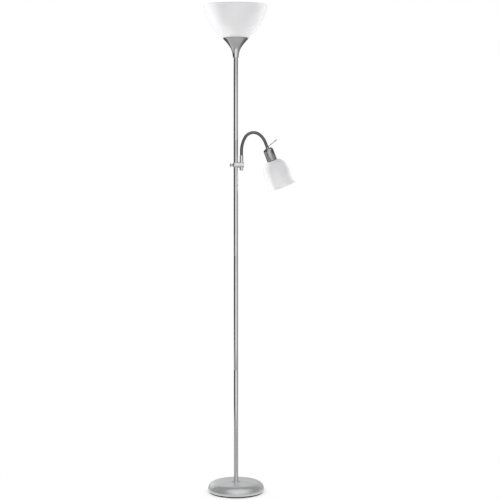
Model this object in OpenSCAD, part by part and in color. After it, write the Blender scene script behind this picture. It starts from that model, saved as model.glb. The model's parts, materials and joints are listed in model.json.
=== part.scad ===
// Floor lamp: an uplighter on a four-piece pole, with a reading light on a flexible arm.
// Millimetres, +Z up. The origin is on the floor, on the pole's axis, and the arm points to +X.

/* [Overall] */
// Height of the uplighter's rim above the floor
lamp_h = 1800; // [1720:1:1880]

/* [Base] */
// Outer diameter of the base cover
base_d = 210; // [190:1:260]
// Height of the cover's crown above the floor
base_h = 39; // [36:0.5:50]
// Thickness of the pressed cover
cover_wall = 1.2; // [0.8:0.1:2]
// How far the crown falls from its centre to the shoulder
crown_fall = 1.6; // [0.2:0.1:3]
// Width of the cover's rounded shoulder
shoulder_w = 26; // [18:1:34]
// Height of the cover's widest line
widest_z = 10; // [8:0.5:12]
// How far the cover's lower edge turns in
edge_tuck = 4.5; // [3:0.1:6]
// Height of the cover's lower edge above the floor
cover_lift = 4.2; // [3.6:0.1:6]
// Thickness of the pad under the weight
pad_t = 3; // [1:0.1:3.2]
// How far the pad's edge is inside the cover's widest line
pad_inset = 7; // [6.5:0.1:12]
// How far the iron weight's edge is inside the cover's widest line
weight_inset = 13; // [12:0.5:20]
// Height of the iron weight's rim
weight_h = 17; // [12:0.5:19]

/* [Pole] */
// Outer diameter of the pole tubes
pole_d = 16; // [15:0.1:17]
// Wall of the pole tubes
pole_wall = 0.9; // [0.7:0.1:1.2]
// Length of the lowest tube
first_len = 419.5; // [380:0.5:440]
// Length of each of the two middle tubes
section_len = 425.5; // [400:0.5:440]
// Length of the sleeves that join the tubes
joiner_len = 60; // [40:1:80]
// Diameter of the collar at the pole's foot
collar_d = 32; // [26:1:40]
// Height of the collar
collar_h = 2.4; // [1.5:0.1:6]

/* [Uplighter] */
// Outer diameter of the uplighter's shade
shade_d = 232; // [200:1:260]
// Height of the shade
shade_h = 119.7; // [112:0.1:140]
// Diameter of the shade where its wall leaves the cup
shade_foot_d = 92; // [88:1:96]
// Angle that the shade's wall turns through from foot to rim
shade_turn = 47; // [30:1:60]
// Wall of the shade
shade_wall = 2.2; // [1.5:0.1:3]
// Height of the trumpet cup
cup_h = 70.3; // [66:0.1:80]
// Diameter of the cup's rim
cup_d = 92.4; // [86:0.2:100]
// Diameter of the cup's neck
cup_neck_d = 19; // [18.6:0.1:22]
// Wall of the cup, measured sideways
cup_wall = 1.6; // [1.2:0.1:2]

/* [Clamp] */
// How far the clamp's centre is below the pole's third joint
clamp_below = 91.7; // [60:0.1:120]
// Diameter of the clamp's barrel
clamp_d = 20.4; // [19.8:0.1:24]
// Distance from the pole's axis to the arm sleeve's axis
arm_offset = 21.2; // [20.4:0.1:30]
// Diameter of the arm sleeve
sleeve_d = 13.6; // [13:0.1:14]
// Wall of the arm sleeve
sleeve_wall = 0.9; // [0.7:0.1:1]
// Height of the arm sleeve, with its plug
sleeve_h = 55.3; // [50:0.1:70]
// How far the sleeve hangs below the clamp's centre
sleeve_drop = 20.2; // [16:0.1:24]
// Diameter of the thumb screw's shank
screw_d = 4; // [3:0.1:5]
// Free length of the shank between clamp and wings
screw_free = 3.6; // [2:0.1:8]
// Height over the screw's wings
wing_span = 13.4; // [11:0.1:18]

/* [Gooseneck] */
// Outer diameter of the flexible tube, over its ridges
neck_d = 11.2; // [10.8:0.1:11.4]
// Bore of the flexible tube
neck_bore = 6.4; // [5.6:0.1:7]
// Height of a ridge
ridge_h = 0.5; // [0.3:0.1:0.8]
// Distance from ridge to ridge
ridge_pitch = 2.4; // [2.2:0.1:4]
// Length of tube held in the sleeve
neck_grip = 15; // [10:1:20]
// Straight length above the sleeve
neck_rise = 16; // [8:1:30]
// Radius and angle of the slow bend above that
slow_bend_r = 99; // [80:1:120]
slow_bend_a = 30; // [25:1:35]
// Radius and angle of the tight bend over the top
top_bend_r = 37; // [34:1:44]
top_bend_a = 98; // [90:1:104]
// Radius and angle of the bend down to the head
down_bend_r = 70; // [60:1:90]
down_bend_a = 30.6; // [24:0.2:34]
// Straight length into the head
neck_end = 18.4; // [14:0.2:30]

/* [Reading head] */
// Diameter of the metal cap
cap_d = 37.2; // [36.6:0.2:42]
// Height of the cap
cap_h = 47; // [44:0.5:56]
// Wall of the cap
cap_wall = 1; // [0.8:0.1:1.4]
// Radius of the cap's shoulder
cap_round = 10.5; // [8:0.5:11]
// Diameter of the reading shade at its widest
bell_d = 98; // [90:1:108]
// Diameter of the reading shade's flared lip
lip_d = 106; // [98:1:116]
// Height of the reading shade
bell_h = 102; // [94:1:116]
// Wall of the reading shade
bell_wall = 2.2; // [1.6:0.1:3]
// Diameter of the switch spindle
spindle_d = 2.8; // [2.4:0.1:3.4]
// Length of the spindle outside its housing
spindle_len = 44; // [30:1:55]
// Angle of the spindle above the cap's top
spindle_rise = 18; // [10:1:24]

/* [Fits] */
// Gap between faces that are assembled against each other at a curve
seat_gap = 0.05; // [0.03:0.01:0.1]
// Radial clearance of parts that turn in each other
turn_gap = 0.06; // [0.03:0.01:0.09]
// Radial room round a part that passes through a hole
pass_gap = 0.5; // [0.3:0.05:0.6]
// Gap between the ball and the socket of two tube lengths
ball_gap = 0.4; // [0.35:0.05:0.6]

/* [Hidden] */

// Finish colours
silver = [0.70, 0.71, 0.72];
chrome = [0.82, 0.83, 0.84];
gunmetal = [0.42, 0.42, 0.43];
opal = [0.93, 0.93, 0.92];
black = [0.08, 0.08, 0.08];
iron = [0.30, 0.30, 0.31];
brass = [0.78, 0.66, 0.35];
cream = [0.90, 0.88, 0.82];
nickel = [0.76, 0.76, 0.77];

// Standard threads: the hollow rod that holds the lamp together, and its nuts
thread_r = 5;
thread_bore_r = 3.5;
nut_across = 14;
nut_t = 4.5;
stud_hole_r = thread_r + pass_gap;
seat_play = 0.3;

// Base
cover_r = base_d / 2;
pad_r = cover_r - pad_inset;
weight_r = cover_r - weight_inset;
shoulder_x = cover_r - shoulder_w;
pad_notch_w = 8;
pad_notch_deep = 3;
pad_notch_turn = -32;
weight_round = 3;
boss_r = 24;
recess_r = 14;
recess_h = 10;
washer_r = 11;
washer_t = 1.5;
channel_w = 8;
channel_h = 8;
crown_steps = 6;
shoulder_steps = 12;
lip_steps = 5;
lip_sweep = 80;

// Outlet for the mains lead at the back of the base
outlet_r = 3.5;
outlet_wall = 1.5;
outlet_flange = 2;
outlet_flange_t = 1.7;
outlet_z = 12;
outlet_depth = 2.4;

// Pole
pole_r = pole_d / 2;
pole_bore_r = pole_r - pole_wall;
joiner_r = pole_bore_r - seat_gap;
joiner_wall = 2.2;
joiner_bore_r = joiner_r - joiner_wall;
insert_len = 25;
stud_lift = 1.5;
stud_short = 2;
edge_break = 0.4;
lead_r = 3;
pole_z = [
    base_h, base_h + first_len, base_h + first_len + section_len, base_h + first_len + 2 * section_len
];

// Uplighter, from its rim down
shade_z = lamp_h - shade_h;
cup_rim_z = shade_z - seat_gap;
cup_z = cup_rim_z - cup_h;
cup_web_up = 20;
cup_web_z = cup_z + cup_web_up;
cup_web_t = 2;
cup_neck_r = cup_neck_d / 2;
pole_top_z = cup_web_z;
rim_bead = 0.9;
rim_bead_h = 4;
nipple_grip = 14;
holder_z = cup_web_z + cup_web_t + nut_t + seat_play;
holder_r = 19.8;
holder_neck_r = 8;
holder_neck_h = 8;
holder_cone_h = 12;
holder_flange_r = 26;
holder_flange_t = 2;
holder_top = 17;
socket_r = 13.6;
socket_depth = 31;
socket_z = shade_z + holder_top - socket_depth;
shade_ring_r = 27;
shade_ring_h = 9;
bulb_r = 30;
bulb_len = 104;
bulb_base_r = 13;
bulb_base_len = 26;
glass_wall = 1;
contact_r = 1.5;

// Clamp
clamp_z = pole_z[3] - clamp_below;
barrel_r = clamp_d / 2;
sleeve_r = sleeve_d / 2;
barrel_end = arm_offset + sleeve_r + 1.2;
dome_len = 5;
dome_back = 4;
dome_tip_r = 3.2;
dome_sweep = 65;
passage_r = 3.2;
lead_slot_h = 7;
swivel_a = 70;
lead_slot_play = 3;
plug_h = 3;
plug_spigot = 5;
screw_tip_gap = 0.3;
wing_t = 2.4;
wing_hub_r = 2.8;
wing_hub_lip = 0.4;
wing_len = 5.5;
sleeve_z = clamp_z - sleeve_drop;
sleeve_top_z = sleeve_z + sleeve_h;

// Gooseneck: its centre line is a list of [length, angle it turns through], from the sleeve on
function arc_len(radius, angle) = radius * angle * PI / 180;
slow_len = arc_len(slow_bend_r, slow_bend_a);
top_len = arc_len(top_bend_r, top_bend_a);
down_len = arc_len(down_bend_r, down_bend_a);
neck_runs = [
    [neck_grip + neck_rise, 0], [slow_len, slow_bend_a], [top_len, top_bend_a],
    [down_len, down_bend_a], [neck_end, 0]
];
neck_len = neck_grip + neck_rise + slow_len + top_len + down_len + neck_end;
// Where the tube can bend: after the slow bend, at the very top, after the top bend, before the head
crown_share = (90 - slow_bend_a) / top_bend_a;
bend_at = [
    0,
    neck_grip + neck_rise + slow_len,
    neck_grip + neck_rise + slow_len + top_len * crown_share,
    neck_grip + neck_rise + slow_len + top_len,
    neck_grip + neck_rise + slow_len + top_len + down_len,
    neck_len
];
neck_r = neck_d / 2;
neck_root_r = neck_r - ridge_h;
neck_bore_r = neck_bore / 2;
ball_r = neck_r - 0.1;
socket_ball_r = ball_r + ball_gap;
socket_rim_r = neck_r - 0.2;
neck_sides = 12;
bore_step = 7;
arm_lead_r = 2.2;
lead_bend_r = 6;
lead_sides = 8;

// Reading head, in its own frame: 0 is the cap's top, and +Z runs down to the mouth
nipple_flange_t = 3;
nipple_flange_r = 5.8;
nipple_len = 14;
cap_r = cap_d / 2;
cap_hole_r = thread_r + pass_gap / 2;
reader_z = cap_wall + nut_t + seat_play;
reader_neck_r = 8;
reader_neck_h = 6;
reader_cone_h = 6;
reader_r = 15.6;
reader_flange_t = 1.5;
reader_skirt_r = 13.9;
reader_skirt_h = 12;
bell_z = cap_h + seat_gap + reader_flange_t;
bell_hole_r = reader_skirt_r + seat_play;
bell_ring_h = 6;
bell_top_rim = 0.2;
bell_top_reach = 0.77;
bell_top_fall = 4.5;
bell_full_at = 0.27;
bell_waist_at = 0.58;
bell_flare_at = 0.86;
bell_flare_in = 3.5;
bell_lip_drop = 0.8;
reader_socket_r = 7.4;
reader_socket_depth = 27;
reader_socket_z = bell_z + reader_skirt_h - reader_socket_depth;
small_base_r = 7;
small_base_len = 24;
small_bulb_r = 22.5;
small_bulb_len = 78;
cap_screw_z = 35;
cap_screw_turn = 28;
cap_screw_r = 1.5;
cap_screw_head_r = 2.3;
cap_screw_head_t = 1.2;
cap_screw_bite = 2;
housing_r = 3.7;
housing_y = 11.2;
housing_up = 4.6;
housing_down = 5.4;
spindle_r = spindle_d / 2;
spindle_up = 1.2;
spindle_in = 2.4;
spindle_tip_r = 2.2;
spindle_tip_len = 6;

// Points of an ellipse's arc
function arc_points(cx, cy, rx, ry, from, to, steps) = [
    for (i = [0 : steps])
        let (a = from + (to - from) * i / steps)
            [cx + rx * cos(a), cy + ry * sin(a)]
];

// Points of a cubic curve between its first and last control point
function curve(p, steps) = [
    for (i = [0 : steps])
        let (t = i / steps, u = 1 - t)
            u * u * u * p[0] + 3 * u * u * t * p[1] + 3 * u * t * t * p[2] + t * t * t * p[3]
];

function reversed(list) = [for (i = [len(list) - 1 : -1 : 0]) list[i]];

// An outline moved sideways by a distance, to its left as it runs
function beside(p, distance) = [
    for (i = [0 : len(p) - 1])
        let (
            before = p[max(i - 1, 0)],
            after = p[min(i + 1, len(p) - 1)],
            along = (after - before) / norm(after - before)
        )
            p[i] + distance * [-along.y, along.x]
];

// Height of the base cover's crown at a distance from the axis
function crown_z(r) = base_h - crown_fall * pow(r / shoulder_x, 2);

// The base cover's outline, from the hole for the stud to the lower edge, drawn in by inset
function cover_line(inset) = concat(
    [
        for (i = [0 : crown_steps])
            let (r = stud_hole_r + (shoulder_x - stud_hole_r) * i / crown_steps)
                [r, crown_z(r) - inset]
    ],
    [
        for (i = [1 : shoulder_steps])
            let (a = 90 * (1 - i / shoulder_steps))
                [
                    shoulder_x + (shoulder_w - inset) * cos(a),
                    widest_z + (crown_z(shoulder_x) - inset - widest_z) * sin(a)
                ]
    ],
    [
        for (i = [1 : lip_steps])
            let (a = lip_sweep * i / lip_steps)
                [
                    cover_r - inset - edge_tuck * (1 - cos(a)) / (1 - cos(lip_sweep)),
                    widest_z - (widest_z - cover_lift) * sin(a) / sin(lip_sweep)
                ]
    ]
);

// Distance from the axis of the base cover's outside at a height on its shoulder
function cover_reach(z) =
    shoulder_x + shoulder_w * sqrt(1 - pow((z - widest_z) / (crown_z(shoulder_x) - widest_z), 2));

module ring(outer, inner, height) {
    difference() {
        cylinder(r = outer, h = height, $fn = 96);
        translate([0, 0, -1])
            cylinder(r = inner, h = height + 2, $fn = 96);
    }
}

module hex_nut(bore) {
    difference() {
        cylinder(d = nut_across / cos(30), h = nut_t, $fn = 6);
        translate([0, 0, -1])
            cylinder(r = bore, h = nut_t + 2, $fn = 48);
    }
}

// Pad that keeps the iron off the floor, with a notch in its edge
module base_pad() color(black)
    difference() {
        cylinder(r = pad_r, h = pad_t, $fn = 128);
        rotate([0, 0, pad_notch_turn])
            translate([-pad_notch_w / 2, -pad_r - 1, -1])
                cube([pad_notch_w, pad_notch_deep + 1, pad_t + 2]);
    }

module base_weight() color(iron) {
    top = pad_t + weight_h;
    boss_top = crown_z(boss_r) - cover_wall - seat_gap;
    difference() {
        rotate_extrude($fn = 128)
            polygon([
                [stud_hole_r, pad_t + recess_h], [recess_r, pad_t + recess_h], [recess_r, pad_t],
                [weight_r - weight_round, pad_t], [weight_r, pad_t + weight_round],
                [weight_r, top - weight_round], [weight_r - weight_round, top],
                [boss_r + weight_round, top], [boss_r, top + weight_round],
                [boss_r, boss_top], [stud_hole_r, boss_top]
            ]);
        translate([-channel_w / 2, 0, pad_t - 1])
            cube([channel_w, weight_r + 1, channel_h + 1]);
    }
}

module base_cover() color(silver)
    difference() {
        rotate_extrude($fn = 160)
            polygon(concat(cover_line(0), reversed(cover_line(cover_wall))));
        translate([0, shoulder_x, outlet_z])
            rotate([-90, 0, 0])
                cylinder(r = outlet_r + outlet_wall + seat_gap, h = shoulder_w + 5, $fn = 48);
    }

// Rubber bush in the cover's back, which the mains lead comes out of
module cord_grommet() color(black) {
    outside = cover_reach(widest_z) + seat_gap;
    inside = cover_reach(outlet_z + outlet_r + outlet_wall + outlet_flange) - cover_wall;
    inner_face = inside - outlet_depth / 2 - outlet_flange_t;
    outer_face = outside + outlet_flange_t;
    translate([0, inner_face, outlet_z])
        rotate([-90, 0, 0])
            rotate_extrude($fn = 48)
                polygon([
                    [outlet_r, 0],
                    [outlet_r + outlet_wall + outlet_flange, 0],
                    [outlet_r + outlet_wall + outlet_flange, outlet_flange_t],
                    [outlet_r + outlet_wall, outlet_flange_t],
                    [outlet_r + outlet_wall, outside - inner_face],
                    [outlet_r + outlet_wall + outlet_flange, outside - inner_face],
                    [outlet_r + outlet_wall + outlet_flange - 0.6, outer_face - inner_face],
                    [outlet_r, outer_face - inner_face]
                ]);
}

module foot_stud() color(chrome)
    translate([0, 0, pad_t + stud_lift])
        ring(thread_r, thread_bore_r, base_h + insert_len - stud_short - pad_t - stud_lift);

module foot_washer() color(chrome)
    translate([0, 0, pad_t + recess_h - washer_t])
        ring(washer_r, thread_r + seat_gap, washer_t);

module foot_nut() color(brass)
    translate([0, 0, pad_t + recess_h - washer_t - nut_t])
        hex_nut(thread_r + seat_gap);

// Threaded plug in the foot of the lowest tube
module foot_insert() color(brass)
    translate([0, 0, base_h])
        ring(joiner_r, thread_r + seat_gap, insert_len);

module pole_collar() color(silver)
    translate([0, 0, base_h])
        rotate_extrude($fn = 96)
            polygon([
                [pole_r + seat_gap, 0], [collar_d / 2, 0], [collar_d / 2, collar_h / 2],
                [collar_d / 2 - collar_h / 3, collar_h], [pole_r + seat_gap, collar_h]
            ]);

// One tube of the pole: its ends are broken, which shows as a fine line at each joint
module pole_tube(bottom, top) color(nickel)
    rotate_extrude($fn = 96)
        polygon([
            [pole_bore_r, bottom], [pole_r - edge_break, bottom], [pole_r, bottom + edge_break],
            [pole_r, top - edge_break], [pole_r - edge_break, top], [pole_bore_r, top]
        ]);

module pole_tube_1() pole_tube(pole_z[0], pole_z[1]);

module pole_tube_2() pole_tube(pole_z[1], pole_z[2]);

// The third tube has the slot under the clamp that the reading light's lead goes through
module pole_tube_3() color(nickel) {
    slot_a = swivel_a + asin(arm_lead_r / pole_bore_r) + lead_slot_play;
    difference() {
        pole_tube(pole_z[2], pole_z[3]);
        translate([0, 0, clamp_z - lead_slot_h / 2])
            rotate([0, 0, -slot_a])
                rotate_extrude(angle = 2 * slot_a, $fn = 96)
                    translate([pole_bore_r - 1, 0])
                        square([pole_wall + 2, lead_slot_h]);
    }
}

module pole_tube_4() pole_tube(pole_z[3], pole_top_z);

module pole_joiner(z) color(brass)
    translate([0, 0, z - joiner_len / 2])
        ring(joiner_r, joiner_bore_r, joiner_len);

module pole_joiner_1() pole_joiner(pole_z[1]);

module pole_joiner_2() pole_joiner(pole_z[2]);

module pole_joiner_3() pole_joiner(pole_z[3]);

// Lead inside the pole, from the base to the upper lampholder
module pole_lead() color(black)
    translate([0, 0, pad_t + stud_lift])
        cylinder(r = lead_r, h = holder_z + holder_neck_h - pad_t - stud_lift - 0.5, $fn = 32);

module top_insert() color(brass)
    translate([0, 0, pole_top_z - insert_len])
        ring(joiner_r, thread_r + seat_gap, insert_len);

// The trumpet between pole and shade: a web inside it stands on the pole's top
module uplight_cup() color(silver) {
    flare = curve([
        [cup_neck_r, cup_z], [cup_neck_r, cup_z + cup_h * 0.42],
        [cup_neck_r + 12.7, cup_z + cup_h * 0.63], [cup_d / 2, cup_rim_z]
    ], 18);
    inside_flare = [for (p = flare) if (p.y > cup_web_z + cup_web_t + 1) [p.x - cup_wall, p.y]];
    rotate_extrude($fn = 128)
        polygon(concat(
            [[pole_r + seat_gap, cup_z]], flare, reversed(inside_flare),
            [
                [inside_flare[0].x - 0.2, cup_web_z + cup_web_t],
                [thread_r + pass_gap, cup_web_z + cup_web_t],
                [thread_r + pass_gap, cup_web_z], [pole_r + seat_gap, cup_web_z]
            ]
        ));
}

module uplight_nipple() color(chrome)
    translate([0, 0, pole_top_z - nipple_grip])
        ring(thread_r, thread_bore_r, holder_z + holder_neck_h - pole_top_z + nipple_grip);

module uplight_nut() color(brass)
    translate([0, 0, cup_web_z + cup_web_t])
        hex_nut(thread_r + seat_gap);

// Lampholder with a flange under the shade, a threaded skirt above it and the bulb's socket
module uplight_lampholder() color(cream)
    rotate_extrude($fn = 96)
        polygon([
            [thread_r + seat_gap, holder_z], [holder_neck_r, holder_z],
            [holder_neck_r, holder_z + holder_neck_h],
            [holder_r, holder_z + holder_neck_h + holder_cone_h],
            [holder_r, shade_z - holder_flange_t - seat_gap],
            [holder_flange_r, shade_z - holder_flange_t - seat_gap],
            [holder_flange_r, shade_z - seat_gap],
            [holder_r, shade_z - seat_gap], [holder_r, shade_z + holder_top - 1],
            [holder_r - 1, shade_z + holder_top], [socket_r, shade_z + holder_top],
            [socket_r, socket_z], [thread_r + seat_gap, socket_z]
        ]);

module uplight_ring() color(cream)
    translate([0, 0, shade_z + shade_wall + seat_gap])
        rotate_extrude($fn = 96)
            polygon([
                [holder_r + seat_gap, 0], [shade_ring_r, 0], [shade_ring_r, shade_ring_h - 2],
                [shade_ring_r - 2, shade_ring_h], [holder_r + seat_gap, shade_ring_h]
            ]);

// The uplighter's bowl: a flat foot, one long arc and a beaded rim
module uplight_shade() color(opal) {
    foot_r = shade_foot_d / 2;
    start = [foot_r, shade_z + shade_wall / 2];
    finish = [shade_d / 2 - rim_bead, lamp_h];
    chord = finish - start;
    lean = atan2(chord.x, chord.y);
    radius = norm(chord) / (2 * sin(shade_turn / 2));
    first_a = lean + shade_turn / 2;
    last_a = lean - shade_turn / 2;
    centre = start + radius * [-cos(first_a), sin(first_a)];
    outside = arc_points(centre.x, centre.y, radius, radius, -first_a, -last_a, 22);
    inside = arc_points(
        centre.x, centre.y, radius - shade_wall, radius - shade_wall, -first_a, -last_a, 22
    );
    top = outside[len(outside) - 1];
    rotate_extrude($fn = 160)
        polygon(concat(
            [[holder_r + 0.3, shade_z], [foot_r - 3, shade_z]],
            [for (i = [0 : len(outside) - 2]) outside[i]],
            [
                [top.x, top.y - rim_bead_h], [top.x + rim_bead, top.y - rim_bead_h + 1],
                [top.x + rim_bead, top.y - 0.8], [top.x, top.y], [top.x - shade_wall, top.y]
            ],
            reversed([for (p = inside) if (p.y > shade_z + shade_wall + 1 && p.y < lamp_h - 1) p]),
            [[foot_r - 3, shade_z + shade_wall], [holder_r + 0.3, shade_z + shade_wall]]
        ));
}

// A bulb on its screw base: the glass is a thin shell, whose hollow ends in the contact's hole
module bulb(base_r, base_len, neck_r, globe_r, globe_z) {
    shoulder = curve([
        [neck_r, base_len + 1], [neck_r, (base_len + globe_z) / 2],
        [globe_r, globe_z - globe_r * 0.8], [globe_r, globe_z]
    ], 10);
    globe = arc_points(0, globe_z, globe_r, globe_r, 9, 90, 9);
    glass_r = globe_r - glass_wall;
    rotate_extrude($fn = 64)
        polygon(concat(
            [[contact_r, 0], [base_r * 0.45, 0], [base_r, 3], [base_r, base_len], [neck_r, base_len]],
            shoulder, globe,
            arc_points(0, globe_z, glass_r, glass_r, 90, 9, 9),
            reversed([for (p = shoulder) if (p.y > base_len + 2) [p.x - glass_wall, p.y]]),
            [[neck_r - glass_wall, base_len + 2], [contact_r, base_len + 2]]
        ));
}

module uplight_bulb() color(opal)
    translate([0, 0, socket_z + 1])
        bulb(bulb_base_r, bulb_base_len, bulb_base_r + 0.4, bulb_r, bulb_len - bulb_r);

// The clamp: a barrel that lies across pole and sleeve, with a domed end for the thumb screw
module clamp_block() color(chrome) {
    left = -pole_r - dome_len;
    dome = arc_points(-pole_r + dome_back, 0, dome_len + dome_back, barrel_r, 90, 90 + dome_sweep, 8);
    translate([0, 0, clamp_z])
        difference() {
            rotate([0, 90, 0])
                rotate_extrude($fn = 96)
                    polygon(concat(
                        [[0, barrel_end], [barrel_r - 1.2, barrel_end], [barrel_r, barrel_end - 1.2]],
                        [for (p = dome) [p.y, p.x]],
                        [[dome_tip_r, left], [0, left]]
                    ));
            translate([0, 0, -barrel_r - 1])
                cylinder(r = pole_r + turn_gap, h = clamp_d + 2, $fn = 96);
            translate([arm_offset, 0, -barrel_r - 1])
                cylinder(r = sleeve_r + seat_gap, h = clamp_d + 2, $fn = 96);
            rotate([0, 90, 0])
                cylinder(r = passage_r, h = arm_offset, $fn = 48);
            translate([left - 1, 0, 0])
                rotate([0, 90, 0])
                    cylinder(r = screw_d / 2 + turn_gap, h = dome_len + 2, $fn = 48);
        }
}

// Thumb screw with two round wings, whose tip stops just short of the pole
module clamp_screw() color(gunmetal) {
    tip = pole_r + turn_gap + screw_tip_gap;
    wings = pole_r + dome_len + screw_free;
    wing_r = wing_len / 2;
    translate([0, 0, clamp_z])
        rotate([0, -90, 0]) {
            translate([0, 0, tip])
                cylinder(d = screw_d, h = wings - tip + 1, $fn = 48);
            translate([0, 0, wings - wing_hub_lip])
                cylinder(r = wing_hub_r, h = wing_len + 2 * wing_hub_lip, $fn = 48);
            for (side = [-1, 1])
                translate([side * (wing_span / 2 - wing_r), wing_t / 2, wings + wing_r])
                    rotate([90, 0, 0])
                        cylinder(r = wing_r, h = wing_t, $fn = 48);
        }
}

// The rigid tube that the flexible one grows out of, with a hole for its lead
module arm_sleeve() color(nickel)
    difference() {
        translate([arm_offset, 0, sleeve_z + plug_h])
            rotate_extrude($fn = 96)
                polygon([
                    [sleeve_r - sleeve_wall, 0], [sleeve_r, 0],
                    [sleeve_r, sleeve_h - plug_h - 1], [sleeve_r - 0.5, sleeve_h - plug_h],
                    [sleeve_r - sleeve_wall, sleeve_h - plug_h]
                ]);
        translate([arm_offset, 0, clamp_z])
            rotate([0, -90, 0])
                cylinder(r = passage_r, h = arm_offset, $fn = 48);
    }

module sleeve_plug() color(nickel)
    translate([arm_offset, 0, sleeve_z])
        rotate_extrude($fn = 96)
            polygon(concat(
                [[0, 0]],
                arc_points(sleeve_r - plug_h, plug_h, plug_h, plug_h, -90, 0, 5),
                [
                    [sleeve_r - sleeve_wall - seat_gap, plug_h],
                    [sleeve_r - sleeve_wall - seat_gap, plug_h + plug_spigot], [0, plug_h + plug_spigot]
                ]
            ));

// A place on a bent line in the XZ plane is [x, z, heading], the heading being from +Z towards +X
function moved(f, length, turn) =
    turn == 0
        ? [f.x + length * sin(f.z), f.y + length * cos(f.z), f.z]
        : let (radius = length / (turn * PI / 180))
            [
                f.x + radius * (cos(f.z) - cos(f.z + turn)),
                f.y + radius * (sin(f.z + turn) - sin(f.z)),
                f.z + turn
            ];

// The place at length s along runs of [length, turn] that begin at f
function place(runs, s, f, k = 0) =
    s <= runs[k][0] || k == len(runs) - 1
        ? moved(f, s, runs[k][1] * s / runs[k][0])
        : place(runs, s - runs[k][0], moved(f, runs[k][0], runs[k][1]), k + 1);

neck_start = [arm_offset, sleeve_top_z - neck_grip, 0];

function neck_place(s) = place(neck_runs, s, neck_start);

// A ring of points round a place on the line, moved on by ahead
function ring_points(f, ahead, r, sides) = [
    for (j = [0 : sides - 1])
        let (a = 360 * j / sides, side = r * cos(a))
            [
                f.x + ahead * sin(f.z) + side * cos(f.z),
                r * sin(a),
                f.y + ahead * cos(f.z) - side * sin(f.z)
            ]
];

// A skin over rings of points, closed from the last ring to the first
module looped_skin(rings) {
    count = len(rings);
    sides = len(rings[0]);
    polyhedron(
        points = [for (one = rings) for (p = one) p],
        faces = [
            for (i = [0 : count - 1])
                for (j = [0 : sides - 1])
                    let (a = i * sides, b = ((i + 1) % count) * sides, n = (j + 1) % sides)
                        each [[a + j, b + n, a + n], [a + j, b + j, b + n]]
        ]
    );
}

// One length of the flexible tube, from bend k to the next. It starts in a socket and ends in a
// ball, except at the tube's own ends. Each ring is [length along the line, ahead, radius].
module gooseneck(k) color(gunmetal) {
    from = bend_at[k];
    to = bend_at[k + 1];
    has_socket = k > 0;
    has_ball = k < len(bend_at) - 2;
    rim_ahead = sqrt(pow(socket_ball_r, 2) - pow(socket_rim_r, 2));
    bore_ahead = sqrt(pow(socket_ball_r, 2) - pow(neck_bore_r, 2));
    ball_ahead = sqrt(pow(ball_r, 2) - pow(neck_bore_r, 2));
    first = from + (has_socket ? rim_ahead + ridge_pitch / 2 : ridge_pitch / 2);
    last = to - ridge_pitch / 2;
    ridges = floor((last - first) / ridge_pitch);
    pitch = (last - first) / ridges;
    bore_from = from + (has_socket ? bore_ahead + 1 : 1);
    bore_rings = ceil((to - bore_from) / bore_step);
    spec = concat(
        has_socket ? [[from, rim_ahead, socket_rim_r]] : [[from, 0, neck_root_r]],
        [
            for (i = [0 : ridges - 1])
                each [[first + i * pitch, 0, neck_r], [first + (i + 0.5) * pitch, 0, neck_root_r]]
        ],
        has_ball
            ? [
                [to, 0, ball_r], [to, ball_r * sin(22), ball_r * cos(22)],
                [to, ball_r * sin(40), ball_r * cos(40)], [to, ball_ahead, neck_bore_r]
            ]
            : [[to, 0, neck_root_r], [to, 0, neck_bore_r]],
        [
            for (i = [1 : bore_rings])
                [to - (to - bore_from) * i / bore_rings, 0, neck_bore_r]
        ],
        has_socket
            ? [
                [from, bore_ahead, neck_bore_r],
                [from, socket_ball_r * sin(42), socket_ball_r * cos(42)]
            ]
            : [[from, 0, neck_bore_r]]
    );
    looped_skin([for (r = spec) ring_points(neck_place(r[0]), r[1], r[2], neck_sides)]);
}

module gooseneck_1() gooseneck(0);

module gooseneck_2() gooseneck(1);

module gooseneck_3() gooseneck(2);

module gooseneck_4() gooseneck(3);

module gooseneck_5() gooseneck(4);

// Length of the first k runs
function run_total(runs, k) = k == 0 ? 0 : run_total(runs, k - 1) + runs[k - 1][0];

// Stations along runs: one at each run's end and one for each step of a bend
function stations(runs, step_a) = [
    0,
    for (k = [0 : len(runs) - 1])
        let (n = max(1, round(abs(runs[k][1]) / step_a)))
            for (i = [1 : n])
                run_total(runs, k) + runs[k][0] * i / n
];

// The reading light's lead: out of the pole, through clamp and sleeve and up the flexible tube
module arm_lead() color(black) {
    start_x = lead_r + seat_play;
    runs = concat(
        [
            [arm_offset - lead_bend_r - start_x, 0], [arc_len(lead_bend_r, 90), -90],
            [neck_start.y - clamp_z - lead_bend_r, 0]
        ],
        neck_runs,
        [[nipple_flange_t + reader_z + reader_neck_h, 0]]
    );
    along = stations(runs, 10);
    count = len(along);
    polyhedron(
        points = [
            for (s = along)
                each ring_points(place(runs, s, [start_x, clamp_z, 90]), 0, arm_lead_r, lead_sides)
        ],
        faces = concat(
            [[for (j = [0 : lead_sides - 1]) j]],
            [
                for (i = [0 : count - 2])
                    for (j = [0 : lead_sides - 1])
                        let (a = i * lead_sides, b = a + lead_sides, n = (j + 1) % lead_sides)
                            each [[a + j, b + n, a + n], [a + j, b + j, b + n]]
            ],
            [[for (j = [lead_sides - 1 : -1 : 0]) (count - 1) * lead_sides + j]]
        )
    );
}

// The reading head's own frame, at the top of its cap and with +Z down to the mouth
module at_head() {
    f = moved(neck_place(neck_len), nipple_flange_t, 0);
    translate([f.x, 0, f.y])
        rotate([0, f.z, 0])
            children();
}

module hose_nipple() color(gunmetal)
    at_head()
        difference() {
            union() {
                translate([0, 0, -nipple_flange_t])
                    cylinder(r = nipple_flange_r, h = nipple_flange_t, $fn = 64);
                cylinder(r = thread_r, h = nipple_len, $fn = 64);
            }
            translate([0, 0, -nipple_flange_t - 1])
                cylinder(r = neck_bore_r, h = nipple_flange_t + nipple_len + 2, $fn = 64);
        }

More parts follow.
